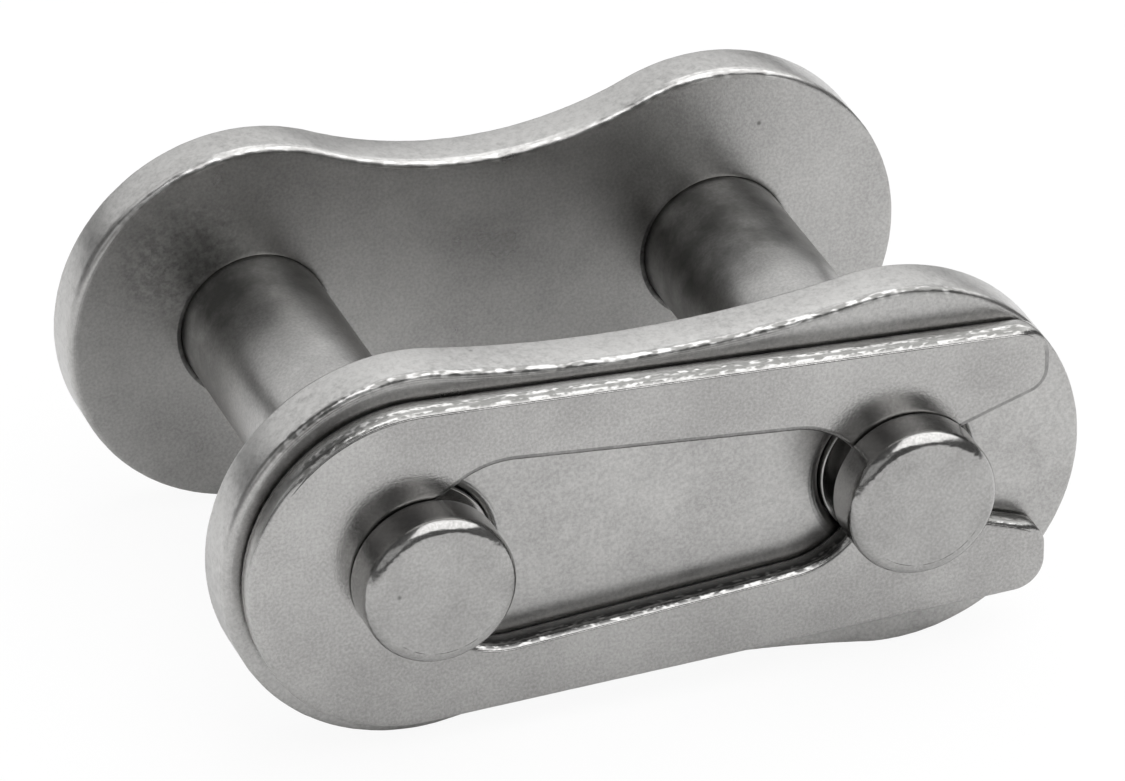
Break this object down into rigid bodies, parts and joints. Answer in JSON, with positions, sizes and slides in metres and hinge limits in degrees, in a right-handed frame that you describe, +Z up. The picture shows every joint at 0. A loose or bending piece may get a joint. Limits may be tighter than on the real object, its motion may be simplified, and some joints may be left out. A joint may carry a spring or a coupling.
{
  "type": "roller chain connecting link",
  "caption": "Roller chain connecting link: pins riveted into a waisted back plate, a slip-on cover plate, and a flat spring clip that snaps into grooves near the pins' free ends.",
  "frame": {"origin": "centre of the bounding box's bottom face, below mid pitch, on the surface that the plates' round ends stand on", "axes": "+X along the pitch towards the spring clip's open end, +Y along the pins from the cover plate to the back plate, +Z up"},
  "size_m": [0.0226, 0.0172, 0.01],
  "materials": {
    "plate_steel": "satin nickel-plated stamping",
    "pin_steel": "satin nickel-plated turned pin",
    "clip_steel": "satin nickel-plated spring steel"
  },
  "bodies": {
    "pin_link": {"back_plate": "plate_steel", "pin_left": "pin_steel", "pin_right": "pin_steel"},
    "cover": {"cover_plate": "plate_steel"},
    "clip": {"spring_clip": "clip_steel"}
  },
  "joints": [
    {"name": "cover_slide", "type": "slide", "parent": "pin_link", "child": "cover", "axis": [0, 1, 0], "range_m": [0, 0.0111]},
    {"name": "clip_slide", "type": "slide", "parent": "pin_link", "child": "clip", "axis": [-1, 0, 0], "range_m": [0, 0.0062], "deforming": ["spring_clip"]}
  ]
}
